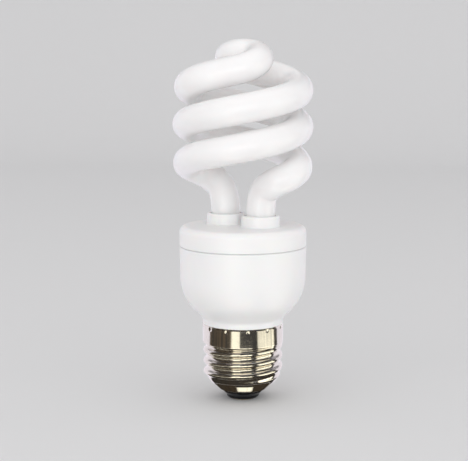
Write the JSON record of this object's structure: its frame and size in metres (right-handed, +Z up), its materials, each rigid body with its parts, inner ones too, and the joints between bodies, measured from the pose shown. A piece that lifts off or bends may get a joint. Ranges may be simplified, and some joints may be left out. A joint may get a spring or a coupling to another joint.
{
  "type": "energy saving bulb",
  "caption": "Compact fluorescent bulb with a half spiral white glass tube on a round white ballast case and an E27 screw cap.",
  "frame": {"origin": "centre of the flat underside of the centre contact, on the cap's axis", "axes": "+Z up the bulb's axis from the contact to the top of the tube; +X and -X through the lobes of the coil; -Y is the side that faces the camera in the picture"},
  "size_m": [0.0462, 0.0456, 0.1184],
  "materials": {
    "milky_glass": "milky white, phosphor coated inside, satin",
    "cement": "matt, chalky",
    "white_plastic": "smooth, semi gloss",
    "nickel_plate": "bright nickel plate on rolled sheet",
    "black_glass": "fused black glass, opaque, glossy",
    "brass_contact": "pressed sheet, satin",
    "solder": "solder, satin",
    "board": "paper laminate, matt",
    "tinned_steel": "tinned",
    "tinned_wire": "tinned wire",
    "ferrite": "sintered, matt",
    "bobbin_plastic": "moulded, matt",
    "enamelled_copper": "enamelled wire",
    "capacitor_can": "shrink sleeve, gloss",
    "film_capacitor": "dipped resin, gloss",
    "black_resin": "moulded resin, matt",
    "ferrite_coated": "painted ring core",
    "hookup_wire": "insulated wire",
    "blue_resin": "dipped resin",
    "resistor_body": "lacquered",
    "blue_glass": "small glass body",
    "sleeve": "woven sleeve"
  },
  "bodies": {
    "root": {"spiral_tube": "milky_glass", "tube_cement": "cement", "ballast_cover": "white_plastic", "ballast_housing": "white_plastic", "screw_shell": "nickel_plate", "cap_insulator": "black_glass", "centre_contact": "brass_contact", "contact_solder": "solder", "circuit_board": "board", "wire_wrap_pins": "tinned_steel", "tube_lead_wires": "tinned_wire", "choke_core": "ferrite", "choke_bobbin": "bobbin_plastic", "choke_winding": "enamelled_copper", "smoothing_capacitor": "capacitor_can", "film_capacitors": "film_capacitor", "power_transistors": "black_resin", "toroid_core": "ferrite_coated", "toroid_windings": "hookup_wire", "filter_choke_core": "ferrite", "filter_choke_winding": "enamelled_copper", "ptc_thermistor": "blue_resin", "rectifier_diodes": "black_resin", "resistors": "resistor_body", "trigger_diode": "blue_glass", "fuse_resistor": "sleeve", "live_lead": "tinned_wire", "neutral_lead": "tinned_wire"}
  },
  "joints": []
}
